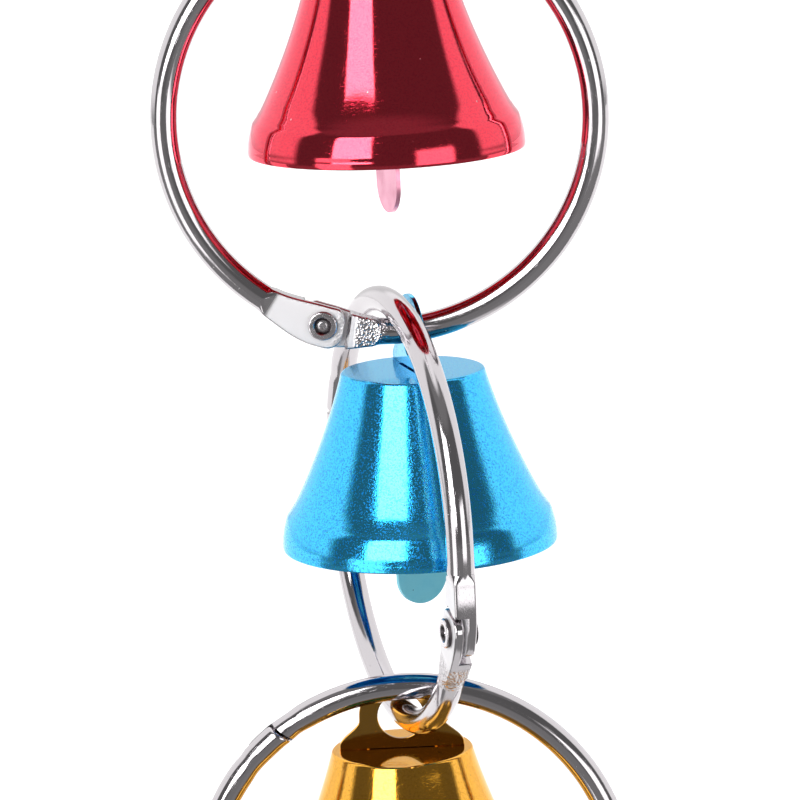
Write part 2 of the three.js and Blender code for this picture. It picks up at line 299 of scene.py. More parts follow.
def finish_piece(bm, node, place, material, body, sharp=SHARP_ANGLE):
    """Put the shape in its place, in metres, and let it stand for its node."""
    bmesh.ops.transform(bm, matrix=Matrix.Scale(MM, 4) @ place, verts=bm.verts)
    mesh = bpy.data.meshes.new(node + "_formed")
    bm.to_mesh(mesh)
    bm.free()
    mesh.shade_smooth()
    mesh.set_sharp_from_angle(angle=sharp)
    mesh.materials.append(material)
    piece = bpy.data.objects.new(node + "_formed", mesh)
    bpy.context.scene.collection.objects.link(piece)
    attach(piece, body)
    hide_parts(node)


# Bent wire with a pressed hinge end and a lapped snap end, in millimetres along from the rivet
FLAT_SHARE = radians(18)
SKIN = 0.012
TAPER_FROM = 0.4
WAIST_DEPTH = 0.07
WAIST_BACK = 3.4
WAIST_LENGTH = 1.1
TIP_ROUND = 0.5
TIP_SHRINK = 0.3
SLANT_RUN = 1.5
STAMP_FROM = 3.7
STAMP_RISE = 0.15
STAMP_PAST = 0.6
STAMP_FALL = 0.8
COIN_TO = -1.35
COIN_FADE = 0.3
COIN_SHARE = 0.35
BEHIND_RIVET = 1.5 * pi
# Spacing of the sections, and the runs next to a paddle's cut end and the snap that are cut finer
SPACING = {
    "cut": 0.05, "corner": 0.12, "flat": 0.3, "step": 0.03, "shoulder": 0.25, "blend": 0.09, "wire": 0.9,
    "waist": 0.2, "tongue": 0.3, "tip": 0.07,
}
CUT_RUN = 0.25
WAIST_RUN = 4


def pressed_point(theta, outer, inner, low, high, corner):
    """Where a point of the round section goes when the wire is pressed to a flat bar with rounded edges."""
    middle = Vector(((outer - inner) / 2, (low + high) / 2))
    half = Vector(((outer + inner) / 2, (high - low) / 2))
    corner = min(corner, half.x, half.y)
    side = round(theta / QUARTER)
    off = theta - side * QUARTER
    if abs(off) <= FLAT_SHARE + MERGE:
        ahead = Vector((cos(side * QUARTER), sin(side * QUARTER)))
        along = Vector((-ahead.y, ahead.x))
        reach, run = (half.x, half.y) if side % 2 == 0 else (half.y, half.x)
        return middle + ahead * reach + along * (off / FLAT_SHARE) * (run - corner)
    which = floor(theta / QUARTER)
    share = (theta - which * QUARTER - FLAT_SHARE) / (QUARTER - 2 * FLAT_SHARE)
    phi = (which + share) * QUARTER
    diagonal = (which + 0.5) * QUARTER
    signs = Vector((1 if cos(diagonal) > 0 else -1, 1 if sin(diagonal) > 0 else -1))
    centre = middle + Vector((signs.x * (half.x - corner), signs.y * (half.y - corner)))
    return centre + Vector((cos(phi), sin(phi))) * corner


def rounded_in(distance, radius):
    """How much narrower a rounded corner is, this far from the end."""
    if distance >= radius:
        return 0.0
    return radius - sqrt(max(radius ** 2 - (radius - distance) ** 2, 0.0))


def snap_limits(ring):
    """Where along a half ring the snap's tongue has its root, its middle and its end."""
    middle = pi * ring_radius(ring)
    return middle - ring.snap_lap / 2 - ring.snap_gap, middle, middle + ring.snap_lap / 2


def wire_section(ring, s, theta, side, shoulder):
    """Place across the wire of one point of the section, s millimetres along from the rivet."""
    wire_r = ring.wire_d / 2
    round_point = Vector((cos(theta), sin(theta))) * (wire_r - SKIN)
    if s < shoulder + ring.blend:
        taper = smooth((s - TAPER_FROM) / (shoulder + ring.blend - TAPER_FROM))
        from_end = s + ring.paddle_end
        outer = mix(ring.paddle_outer, wire_r, taper) - rounded_in(from_end, ring.outer_corner)
        inner = mix(ring.paddle_inner, wire_r, taper) - rounded_in(from_end, ring.inner_corner)
        low, high = -ring.stack / 2, ring.stack / 2
        if s < ring.step:
            low, high = sorted((side * ring.lap_gap / 2, side * ring.stack / 2))
        flat_point = pressed_point(theta, outer, inner, low, high, ring.edge)
        return flat_point.lerp(round_point, smooth((s - shoulder) / ring.blend))
    root, snap, end = snap_limits(ring)
    point = round_point * (1 - WAIST_DEPTH * exp(-((s - snap + WAIST_BACK) / WAIST_LENGTH) ** 2))
    tongue = -side
    if s > root:
        point.y = tongue * max(tongue * point.y, ring.lap_gap / 2)
        tip = max(0.0, 1 - (end - s) / TIP_ROUND)
        shrink = 1 - TIP_SHRINK * (1 - sqrt(max(1 - tip * tip, 0.0)))
        point.x *= shrink
        point.y = tongue * mix(ring.lap_gap / 2, tongue * point.y, shrink)
    return point


def half_ring(ring, hinge, turn, side, shoulder, stamped_root):
    """One half of a snap ring, in the ring's own frame."""
    reach = ring_radius(ring)
    root, _, end = snap_limits(ring)
    fine = SPACING["step"]
    stations = (
        (CUT_RUN - ring.paddle_end, SPACING["cut"]),
        (ring.outer_corner - ring.paddle_end, SPACING["corner"]),
        (ring.step - fine, SPACING["flat"]),
        (ring.step, fine),
        (shoulder, SPACING["shoulder"]),
        (shoulder + ring.blend, SPACING["blend"]),
        (root - WAIST_RUN, SPACING["wire"]),
        (root - fine, SPACING["waist"]),
        (root, fine),
        (end - TIP_ROUND, SPACING["tongue"]),
        (end, SPACING["tip"]),
    )
    bm = bmesh.new()
    wire_place = bm.verts.layers.float_vector.new("wire_place")
    stamped = bm.verts.layers.float.new("stamped")
    across = Matrix.Translation((0, 0, -reach)) @ Matrix.Rotation(QUARTER, 4, "Y")
    made = bmesh.ops.create_circle(bm, segments=SECTION_POINTS, radius=ring.wire_d / 2, matrix=across)
    circle = made["verts"]
    s = -ring.paddle_end
    start = Matrix.Rotation(-hinge - turn * s / reach, 3, "Y")
    bmesh.ops.rotate(bm, verts=circle, cent=ORIGIN, matrix=start)
    section = circle + bm.edges[:]
    first_edges = of_kind(bmesh.types.BMEdge, section)
    for stop, spacing in stations:
        steps = max(1, ceil((stop - s) / spacing - MERGE))
        spun = bmesh.ops.spin(bm, geom=section, cent=ORIGIN, axis=-turn * FORWARD, angle=(stop - s) / reach,
                              steps=steps)
        section = spun["geom_last"]
        s = stop
    for edges in (first_edges, of_kind(bmesh.types.BMEdge, section)):
        bmesh.ops.edgeloop_fill(bm, edges=edges)
    for vert in bm.verts:
        angle = atan2(vert.co.x, -vert.co.z)
        arc = ((angle - hinge) * turn) % tau
        s = (arc - tau if arc > BEHIND_RIVET else arc) * reach
        theta = atan2(vert.co.y, hypot(vert.co.x, vert.co.z) - reach) % tau
        point = wire_section(ring, s, theta, side, shoulder)
        slant = ring.snap_slant * point.x / (ring.wire_d / 2) * smooth((s - root + SLANT_RUN) / SLANT_RUN)
        angle += slant / reach
        out = reach + point.x
        vert.co = (out * sin(angle), point.y, -out * cos(angle))
        vert[wire_place] = (s, point.x, point.y)
        if stamped_root:
            fall = smooth((shoulder + ring.blend + STAMP_PAST - s) / STAMP_FALL)
            vert[stamped] = smooth((s - STAMP_FROM) / STAMP_RISE) * fall
        else:
            vert[stamped] = COIN_SHARE * smooth((COIN_TO - s) / COIN_FADE)
    bmesh.ops.recalc_face_normals(bm, faces=bm.faces)
    return bm


class BELLTOY_OT_snap_rings(bpy.types.Operator):
    """Bend both halves of each snap ring, with its hinge paddles and snap closure"""

    bl_idname = "belltoy.snap_rings"
    bl_label = "Snap rings"

    def execute(self, context):
        toy = context.scene.bell_toy
        ring = Millimetres(toy.ring)
        plating = nickel_wire(toy.finish)
        for index, spec in enumerate(RINGS):
            place = ring_place(ring, index)
            name, hinge, top_side = spec["name"], spec["hinge"], spec["top_side"]
            down = 1 if hinge < 0 else -1
            top = half_ring(ring, hinge, -down, top_side, ring.top_paddle, False)
            finish_piece(top, name + "_top_half", place, plating, name)
            bottom = half_ring(ring, hinge, down, -top_side, ring.bottom_paddle, True)
            finish_piece(bottom, name + "_bottom_half", place, plating, name + "_lower")
        return {"FINISHED"}


# Rolled rivet: its recess as radius and rise, its roll's lip as inset and drop, and where painted shade
# darkens the hollow's wall and the underside of the roll
RECESS_DIP = 0.04
RECESS_FLOOR = ((0.32, -0.02), (0.38, 0.05), (0.5, 0), (0.72, 0.03))
LIP_POINTS = ((0.28, 0.1), (0.16, 0))
ROLL_STEPS = 6
HEAD_UNDERCUT = 0.05
# Where the painted shade starts and fades, on the hollow's wall and under the roll
PAINTED_SHADE_WALL = 0.55
PAINTED_SHADE_WALL_FADE = 0.15
PAINTED_SHADE_TOP_FADE = 0.05
PAINTED_SHADE_BRIM = 0.3
PAINTED_SHADE_BRIM_FADE = 0.6


def rolled_rivet(ring):
    """Tubular rivet along Y: a shank and a rolled, hollow head on each face of the paddles."""
    seat = ring.stack / 2 + ring.seat_show
    top = ring.stack / 2 + ring.seat_gap + ring.rivet_head
    floor_y = top - ring.rivet_recess
    head_r, shank_r = ring.rivet_head_d / 2, ring.rivet_shank_d / 2
    roll = ring.rivet_head / 2
    lip_r = head_r - 2 * roll
    bm = bmesh.new()
    line = Outline(bm, 0, floor_y - RECESS_DIP, FORWARD)
    line.run(*((out, floor_y + rise) for out, rise in RECESS_FLOOR))
    line.run(*((lip_r - inset, top - drop) for inset, drop in LIP_POINTS))
    line.run((head_r - roll, top))
    line.bend(head_r - roll, top - roll, -QUARTER, ROLL_STEPS)
    line.run((head_r - HEAD_UNDERCUT, seat), (shank_r, seat), (shank_r, 0))
    profile = bm.verts[:] + bm.edges[:]
    bmesh.ops.mirror(bm, geom=profile, matrix=Matrix.Identity(4), merge_dist=MERGE, axis="Y")
    spin_round(bm, FORWARD, RIVET_STEPS)
    bmesh.ops.recalc_face_normals(bm, faces=bm.faces)
    # Painted shade: darker on the wall of the hollow, and from under the rolled brim down to the seat
    grime = bm.verts.layers.float.new("grime")
    for vert in bm.verts:
        out = hypot(vert.co.x, vert.co.z)
        below = top - abs(vert.co.y)
        wall = smooth((out - PAINTED_SHADE_WALL) / PAINTED_SHADE_WALL_FADE)
        wall *= smooth((below - PAINTED_SHADE_TOP_FADE) / PAINTED_SHADE_TOP_FADE)
        brim = smooth((below - PAINTED_SHADE_BRIM * roll) / (PAINTED_SHADE_BRIM_FADE * roll))
        vert[grime] = wall if out < lip_r else brim
    return bm


class BELLTOY_OT_rivets(bpy.types.Operator):
    """Roll the hinge rivet of each snap ring"""

    bl_idname = "belltoy.rivets"
    bl_label = "Rivets"

    def execute(self, context):
        toy = context.scene.bell_toy
        ring = Millimetres(toy.ring)
        plating = nickel_rivet(toy.finish)
        reach = ring_radius(ring)
        for index, spec in enumerate(RINGS):
            pivot = Matrix.Translation((reach * sin(spec["hinge"]), 0, -reach * cos(spec["hinge"])))
            place = ring_place(ring, index) @ pivot
            name = spec["name"]
            finish_piece(rolled_rivet(ring), name + "_rivet", place, plating, name)
        return {"FINISHED"}


# Spun bell: shares along the crown, the crease and the bow, with how far a point stands out or is sunk
CROWN_SHARES = (0.35, 0.7, 0.92, 1)
CROWN_BEND = radians(72)
CROWN_STEPS = 7
CONE_STEPS = 14
CREASE_POINTS = ((0.2, 0.02), (0.4, -0.01), (0.65, 0), (0.85, 0.04))
BOW_POINTS = (
    (0.02, 0), (0.12, 0), (0.25, 0), (0.4, 0), (0.55, 0), (0.68, 0.005), (0.73, 0.025), (0.78, 0.01),
    (0.9, 0.01), (0.97, 0.03), (1, 0.07),
)
# Unevenness of the wall: waves round it, twist over the height, phase and share
WAVE = 0.03
WAVE_TERMS = ((3, 0, 1.3, 0.5), (5, 9, 0, 0.3), (8, -14, 0, 0.2))
# Dent in the crown's front edge
DENT_FROM = 0.93
DENT_REACH = 0.5
DENT_DEPTH = 0.16
DENT_WIDTH = 2.6
DENT_SQUARENESS = 4
DENT_LIMIT = 0.08
DENT_TURN = 0.15


def spun_profile(bm, shell):
    """Outside of the bell in X and Z, from the crown's middle to the rim, as a chain of edges."""
    crown_r, rim_r = shell.crown_d / 2, shell.rim_d / 2
    flat_r = crown_r - shell.crown_round
    crease = Vector((rim_r - shell.crease_inset, shell.crease_height - shell.height))
    bow = Vector((rim_r - shell.bow_inset, shell.bow_height - shell.height))
    line = Outline(bm, 0, 0)
    line.run(*((flat_r * share, 0) for share in CROWN_SHARES))
    line.bend(flat_r, -shell.crown_round, -CROWN_BEND, CROWN_STEPS)
    edge = line.tip.co.copy()
    for i in range(1, CONE_STEPS + 1):
        t = i / CONE_STEPS
        bow_in = shell.hollow * 4 * t * (1 - t)
        line.run((mix(edge.x, crease.x, t) - bow_in, mix(edge.z, crease.y, t)))
    for share, bulge in CREASE_POINTS:
        line.run((mix(crease.x, bow.x, share) + bulge, mix(crease.y, bow.y, share)))
    for share, sunk in BOW_POINTS:
        line.run((mix(bow.x, rim_r, 1 - (1 - share) ** 2) - sunk, mix(bow.y, -shell.height, share)))


def cut_slot(bm, half_long, half_wide):
    """Open the hanger's slot in the crown, along X."""
    for axis, half in ((ALONG, half_long), (FORWARD, half_wide)):
        for sign in (-1, 1):
            crown = [face for face in bm.faces if face.calc_center_median().z > -MERGE]
            geom = unique(item for face in crown for item in (face, *face.edges, *face.verts))
            bmesh.ops.bisect_plane(bm, geom=geom, dist=MERGE, plane_co=axis * half * sign, plane_no=axis)
    slot = []
    for face in bm.faces:
        middle = face.calc_center_median()
        if middle.z > -MERGE and abs(middle.x) < half_long and abs(middle.y) < half_wide:
            slot.append(face)
    bmesh.ops.delete(bm, geom=slot, context="FACES")


def spun_bell(shell, sheet, front):
    """A bell of sheet metal, its crown's middle at the origin, slotted along X."""
    bm = bmesh.new()
    spun_profile(bm, shell)
    spin_round(bm, UP, BELL_STEPS)
    half_long = sheet.tongue_width / 2 + sheet.prong_width + sheet.slot_clearance
    cut_slot(bm, half_long, sheet.thickness / 2 + sheet.slot_clearance)
    for vert in bm.verts:
        around = atan2(vert.co.y, vert.co.x)
        depth = -vert.co.z / shell.height
        out = hypot(vert.co.x, vert.co.y)
        if depth > MERGE:
            wave = sum(part * sin(turns * around + twist * depth + phase)
                       for turns, twist, phase, part in WAVE_TERMS)
            scale = 1 - WAVE * (1 + wave) * depth / out
            vert.co.x *= scale
            vert.co.y *= scale
        if depth < DENT_LIMIT:
            off_front = ((around - front + pi) % tau - pi) * out
            near_edge = exp(-((out - DENT_FROM * shell.crown_d / 2) / DENT_REACH) ** 2)
            vert.co.z -= DENT_DEPTH * near_edge * exp(-((off_front / DENT_WIDTH) ** DENT_SQUARENESS))
    bmesh.ops.recalc_face_normals(bm, faces=bm.faces)
    if sum(face.normal.dot(face.calc_center_median()) for face in bm.faces) < 0:
        bmesh.ops.reverse_faces(bm, faces=bm.faces)
    bmesh.ops.solidify(bm, geom=bm.faces[:], thickness=shell.wall)
    return bm


class BELLTOY_OT_bells(bpy.types.Operator):
    """Spin the three bell shells"""

    bl_idname = "belltoy.bells"
    bl_label = "Bells"

    def execute(self, context):
        toy = context.scene.bell_toy
        _, shell, sheet = sizes(toy)
        for bell in BELLS:
            name = bell["name"]
            place = bell_place(toy, bell)
            turned = atan2(place[1][0], place[0][0])
            bm = spun_bell(shell, sheet, -QUARTER - turned - DENT_TURN)
            material = spun_anodised(toy.finish, name, place.translation * MM)
            finish_piece(bm, name + "_bell_shell", place, material, name + "_bell")
        return {"FINISHED"}


# Stamped sheet
RIM_ANGLE = radians(80)
SHOULDER_SHARES = (0.12, 0.24, 0.36, 0.48, 0.6, 0.72, 0.84, 0.93, 1)
PRONG_SLACK = 0.02
MOUTH_FROM = radians(-40)
MOUTH_TO = radians(10)
MOUTH_STEPS = 3
# Softened corners of the clapper's blade: above and below the corner, and how far in or out
NECK_ABOVE = 0.6
NECK_SWELL = 0.18
CHEEK_ABOVE = 0.5
CHEEK_INSET = 0.15
CORNER_BELOW = 0.4


def stamp_out(bm, thickness, burr):
    """Fill the outlines, give the sheet its thickness and round the sheared edges."""
    bmesh.ops.remove_doubles(bm, verts=bm.verts, dist=MERGE)
    bmesh.ops.triangle_fill(bm, use_beauty=True, edges=bm.edges[:])
    bmesh.ops.translate(bm, verts=bm.verts, vec=FORWARD * (-thickness / 2))
    far = bmesh.ops.extrude_face_region(bm, geom=bm.faces[:])["geom"]
    bmesh.ops.translate(bm, verts=of_kind(bmesh.types.BMVert, far), vec=FORWARD * thickness)
    bmesh.ops.recalc_face_normals(bm, faces=bm.faces)
    rims = []
    for edge in bm.edges:
        first, second = edge.verts
        if edge.calc_face_angle(0) > RIM_ANGLE and abs(first.co.y - second.co.y) < MERGE:
            rims.append(edge)
    round_edges(bm, rims, burr)


def mirrored(points):
    return [(-x, z) for x, z in points]


def stamped_hanger(ring, shell, sheet):
    """Plate on the crown: foot, round head with its eye, tongue through the slot and bent prongs."""
    base = ring.seat_show
    foot, neck, tongue = sheet.shoulder_width / 2, sheet.neck_width / 2, sheet.tongue_width / 2
    eye_z = sheet.eye_height
    tongue_eye = -shell.wall - sheet.tongue_drop
    tongue_end = tongue_eye - sheet.tongue_eye_d / 2 - sheet.tongue_web
    leg_bottom = -shell.wall - ring.seat_gap - sheet.thickness
    leg = tongue + sheet.prong_width
    foot_top = base + sheet.base_height
    sweep = sheet.shoulder_height - sheet.base_height
    flank = [(foot, base), (foot, foot_top)]
    flank += [(foot - (foot - neck) * smooth(share), foot_top + sweep * share) for share in SHOULDER_SHARES]
    bm = bmesh.new()
    plate = Outline(bm, leg, base)
    plate.run(*flank, (neck, eye_z))
    plate.bend(0, eye_z, pi, 2 * ROUND_STEPS)
    plate.run(*mirrored(reversed(flank)))
    plate.run((-leg, base), (-leg, leg_bottom), (-tongue, leg_bottom), (-tongue, tongue_end + tongue))
    plate.bend(0, tongue_end + tongue, pi)
    plate.run((tongue, leg_bottom), (leg, leg_bottom))
    plate.close()
    upright = Matrix.Rotation(QUARTER, 4, "X")
    for z, across in ((eye_z, sheet.eye_d), (tongue_eye, sheet.tongue_eye_d)):
        spot = Matrix.Translation((0, 0, z)) @ upright
        bmesh.ops.create_circle(bm, segments=2 * ROUND_STEPS, radius=across / 2, matrix=spot)
    stamp_out(bm, sheet.thickness, sheet.burr)
    half_sheet = sheet.thickness / 2
    reach = sheet.prong_reach - half_sheet
    size = (sheet.prong_width - PRONG_SLACK, reach - half_sheet, sheet.thickness - PRONG_SLACK, 1)
    middle = Vector((tongue + sheet.prong_width / 2, (reach + half_sheet) / 2))
    for side in (-1, 1):
        spot = (side * middle.x, side * middle.y, leg_bottom + half_sheet)
        block = Matrix.Translation(spot) @ Matrix.Diagonal(size)
        prong = bmesh.ops.create_cube(bm, size=1, matrix=block)["verts"]
        round_edges(bm, unique(edge for vert in prong for edge in vert.link_edges), sheet.burr)
    return bm


def stamped_clapper(ring, shell, sheet):
    """Flat clapper: an open hook, a shank and a rounded blade."""
    tongue_eye = -shell.wall - sheet.tongue_drop
    bore = sheet.hook_d / 2
    outside = bore + sheet.hook_bar
    hook_z = tongue_eye - sheet.tongue_eye_d / 2 + ring.hang_gap - bore
    tip = -shell.height - sheet.below_rim
    blade, shank = sheet.blade_width / 2, sheet.shank_width / 2
    meet = asin(shank / outside)
    neck_z = tip + sheet.blade_length
    cheek_z = tip + blade + sheet.blade_side
    flank = (
        (shank, neck_z + NECK_ABOVE),
        (shank + NECK_SWELL, neck_z - CORNER_BELOW),
        (blade - CHEEK_INSET, cheek_z + CHEEK_ABOVE),
        (blade, cheek_z - CORNER_BELOW),
    )
    bm = bmesh.new()
    flat = Outline(bm, outside * cos(MOUTH_TO), hook_z + outside * sin(MOUTH_TO))
    flat.bend(0, hook_z, 3 * QUARTER - meet - MOUTH_TO, 2 * ROUND_STEPS)
    flat.run(*mirrored(flank), (-blade, tip + blade))
    flat.bend(0, tip + blade, pi, 2 * ROUND_STEPS)
    flat.run(*reversed(flank), (shank, hook_z - outside * cos(meet)))
    flat.bend(0, hook_z, MOUTH_FROM + QUARTER - meet, MOUTH_STEPS)
    flat.run((bore * cos(MOUTH_FROM), hook_z + bore * sin(MOUTH_FROM)))
    flat.bend(0, hook_z, -(tau + MOUTH_FROM - MOUTH_TO), 2 * ROUND_STEPS)
    flat.close()
    stamp_out(bm, sheet.thickness, sheet.burr)
    return bm


class BELLTOY_OT_hangers(bpy.types.Operator):
    """Stamp the hanger plate of each bell"""

    bl_idname = "belltoy.hangers"
    bl_label = "Hangers"

    def execute(self, context):
        toy = context.scene.bell_toy
        ring, shell, sheet = sizes(toy)
        for bell in BELLS:
            name = bell["name"]
            # The hanger plate is painted a darker share of the bell's colour: painted shade for the dark
            # studio that its flat face reflects
            base = scaled(getattr(toy.finish, name), LOOKS[name]["plate"])
            material = sheet_anodised(name, "_hanger_sheet", base, HANGER_ROUGHNESS)
            finish_piece(stamped_hanger(ring, shell, sheet), name + "_bell_hanger", bell_place(toy, bell),
                         material, name + "_bell", SHEET_SHARP_ANGLE)
        return {"FINISHED"}


class BELLTOY_OT_clappers(bpy.types.Operator):
    """Stamp the clapper of each bell"""

    bl_idname = "belltoy.clappers"
    bl_label = "Clappers"

    def execute(self, context):
        toy = context.scene.bell_toy
        ring, shell, sheet = sizes(toy)
        for bell in BELLS:
            name = bell["name"]
            place = bell_place(toy, bell) @ Matrix.Rotation(QUARTER + bell["clapper_turn"], 4, "Z")
            material = sheet_anodised(name, "_clapper_sheet", LOOKS[name]["clapper"], CLAPPER_ROUGHNESS)
            finish_piece(stamped_clapper(ring, shell, sheet), name + "_bell_clapper", place, material,
                         name + "_clapper", SHEET_SHARP_ANGLE)
        return {"FINISHED"}


# Places of the colour sockets on a mix node
COLOUR_A = 6
COLOUR_B = 7
COLOUR_RESULT = 2


class Graph:
    """Short hand for building a node tree."""

    def __init__(self, tree):
        self.tree = tree
        tree.nodes.clear()

    def put(self, value, socket):
        if isinstance(value, bpy.types.NodeSocket):
            self.tree.links.new(value, socket)
        else:
            socket.default_value = value

    def add(self, kind, inputs=None, **settings):
        node = self.tree.nodes.new(kind)
        for key, value in settings.items():
            setattr(node, key, value)
        for key, value in (inputs or {}).items():
            self.put(value, node.inputs[key])
        return node

    def math(self, operation, *values):
        return self.add("ShaderNodeMath", dict(enumerate(values)), operation=operation).outputs[0]

    def fade(self, value, low, high, to_low=0.0, to_high=1.0):
        inputs = {"Value": value, "From Min": low, "From Max": high, "To Min": to_low, "To Max": to_high}
        return self.add("ShaderNodeMapRange", inputs, interpolation_type="SMOOTHSTEP").outputs["Result"]

    def blend(self, share, first, second):
        node = self.add("ShaderNodeMix", {"Factor": share, "A": first, "B": second}, data_type="FLOAT")
        return node.outputs["Result"]

    def mix_colour(self, share, first, second):
        node = self.add("ShaderNodeMix", {"Factor": share}, data_type="RGBA")
        self.put(first, node.inputs[COLOUR_A])
        self.put(second, node.inputs[COLOUR_B])
        return node.outputs[COLOUR_RESULT]

    def attribute(self, name, output):
        return self.add("ShaderNodeAttribute", attribute_name=name).outputs[output]

    def stretch(self, place, **inputs):
        return self.add("ShaderNodeMapping", {"Vector": place, **inputs}).outputs[0]

    def noise(self, place, settings):
        return self.add("ShaderNodeTexNoise", {"Vector": place, **settings}).outputs["Fac"]

    def in_millimetres(self, vector):
        return self.add("ShaderNodeVectorMath", {0: vector, "Scale": 1 / MM}, operation="SCALE").outputs[0]

    def relief(self, shader, height, depth):
        bump = self.add("ShaderNodeBump", {"Height": height, "Distance": depth * MM, "Strength": 1.0})
        self.put(bump.outputs[0], shader.inputs["Normal"])


def linked(shader, name):
    """What now feeds one of the shader's sockets."""
    return shader.inputs[name].links[0].from_socket


def scaled(tint, share):
    return tuple(share * part for part in tint[:3]) + (1,)


# Marks of handling, shared by every metal: places in millimetres, limits of each mask
SCRATCH_TURN = (0.3, 0.5, 0.9)
SCRATCH_STRETCH = (0.5, 9, 9)
SCRATCH_NOISE = {"Scale": 1.0, "Detail": 4.0}
SCRATCH_FADE = (0.62, 0.72)
PIT_EDGE = (0.0, 0.04)
PIT_CHANCE = (0.45, 0.55)
CLOUD_NOISE = {"Scale": 0.35, "Detail": 5.0, "Roughness": 0.6}
CLOUD_FADE = (0.35, 0.75)
CLOUD_DULL = 1.9
SCRATCH_DULL = 0.07
SCRATCH_DEPTH = -0.12
PIT_DULL = 0.2
PIT_DEPTH = -1.0


def handling_marks():
    """Fine scratches, small pits and a soft cloud, for a place in millimetres."""
    name = "handling_marks"
    if name in bpy.data.node_groups:
        return bpy.data.node_groups[name]
    tree = bpy.data.node_groups.new(name, "ShaderNodeTree")
    tree.interface.new_socket("Place", in_out="INPUT", socket_type="NodeSocketVector")
    for label in ("Pit Scale", "Pit Size"):
        tree.interface.new_socket(label, in_out="INPUT", socket_type="NodeSocketFloat")
    for label in ("Scratches", "Pits", "Cloud"):
        tree.interface.new_socket(label, in_out="OUTPUT", socket_type="NodeSocketFloat")
    graph = Graph(tree)
    given, out = graph.add("NodeGroupInput"), graph.add("NodeGroupOutput")
    place = given.outputs["Place"]
    lines = graph.noise(graph.stretch(place, Rotation=SCRATCH_TURN, Scale=SCRATCH_STRETCH), SCRATCH_NOISE)
    cells = graph.add("ShaderNodeTexVoronoi", {"Vector": place, "Scale": given.outputs["Pit Scale"]})
    apart = graph.add("ShaderNodeSeparateColor", {"Color": cells.outputs["Color"]})
    size = graph.math("MULTIPLY", given.outputs["Pit Size"], apart.outputs[0])
    spot = graph.math("SUBTRACT", size, cells.outputs["Distance"])
    chosen = graph.fade(apart.outputs[1], *PIT_CHANCE)
    graph.put(graph.fade(lines, *SCRATCH_FADE), out.inputs["Scratches"])
    graph.put(graph.math("MULTIPLY", graph.fade(spot, *PIT_EDGE), chosen), out.inputs["Pits"])
    graph.put(graph.noise(place, CLOUD_NOISE), out.inputs["Cloud"])
    return tree


def new_metal(name, base, roughness):
    material = bpy.data.materials.new(name)
    material.use_nodes = True
    material.diffuse_color = base
    graph = Graph(material.node_tree)
    look = {"Base Color": base, "Metallic": 1.0, "Roughness": roughness}
    shader = graph.add("ShaderNodeBsdfPrincipled", look)
    graph.add("ShaderNodeOutputMaterial", {"Surface": shader.outputs[0]})
    return material, graph, shader


def marked_metal(graph, shader, place, base, roughness, pits):
    """Join the shared marks to a shader's colour and gloss, and return their relief."""
    inputs = {"Place": place, "Pit Scale": pits["scale"], "Pit Size": pits["size"]}
    marks = graph.add("ShaderNodeGroup", node_tree=handling_marks())
    for key, value in inputs.items():
        graph.put(value, marks.inputs[key])
    scratches, pitted = marks.outputs["Scratches"], marks.outputs["Pits"]
    graph.put(graph.mix_colour(pitted, base, pits["colour"]), shader.inputs["Base Color"])
    soft = graph.fade(marks.outputs["Cloud"], *CLOUD_FADE, roughness, roughness * CLOUD_DULL)
    rubbed = graph.math("MULTIPLY_ADD", scratches, SCRATCH_DULL, soft)
    graph.put(graph.math("MULTIPLY_ADD", pitted, PIT_DULL, rubbed), shader.inputs["Roughness"])
    return graph.math("MULTIPLY_ADD", scratches, SCRATCH_DEPTH, graph.math("MULTIPLY", pitted, PIT_DEPTH))


# Plated wire and rivets: relief in millimetres, and where the paddle's pressed faces are
WIRE_PITS = {"scale": 1.1, "size": 0.1, "colour": (0.42, 0.4, 0.4, 1)}
WIRE_RELIEF = 0.02
DRAWN_STRETCH = (0.08, 6, 6)
DRAWN_NOISE = {"Scale": 1.6, "Detail": 3.0}
DRAWN_DEPTH = 0.22
STAMP_CELLS = {"Scale": 4.2, "Randomness": 0.9}
STAMP_DEPTH = 7.0
STAMPED_SHARE = 0.7
FLAT_LIMITS = (1.16, 1.24)
RECESS_LIMITS = (0.16, 0.26)
RECESS_RUN = (2.7, 2.8)
PRESSED_RUN = (5.6, 6.6)
PRESSED_ROUGHNESS = 0.62
# Paler colour of the pressed faces: painted light for the light their satin finish catches
PRESSED_LIT_COLOUR = (0.93, 0.915, 0.93, 1)
RIVET_PITS = {"scale": 2.4, "size": 0.14, "colour": (0.25, 0.23, 0.23, 1)}
# Rivet plating painted paler than the wire's: painted light, a lit copy of the same nickel
RIVET_PAINTED_LIGHT = 1.2
RIVET_DULLER = 1.8
TOOL_NOISE = {"Scale": 5.0, "Detail": 4.0}
TOOL_DEPTH = 1.6
# Near-black colour of the painted shade in the rivet's hollow and under its roll
PAINTED_SHADE_COLOUR = (0.07, 0.06, 0.065, 1)


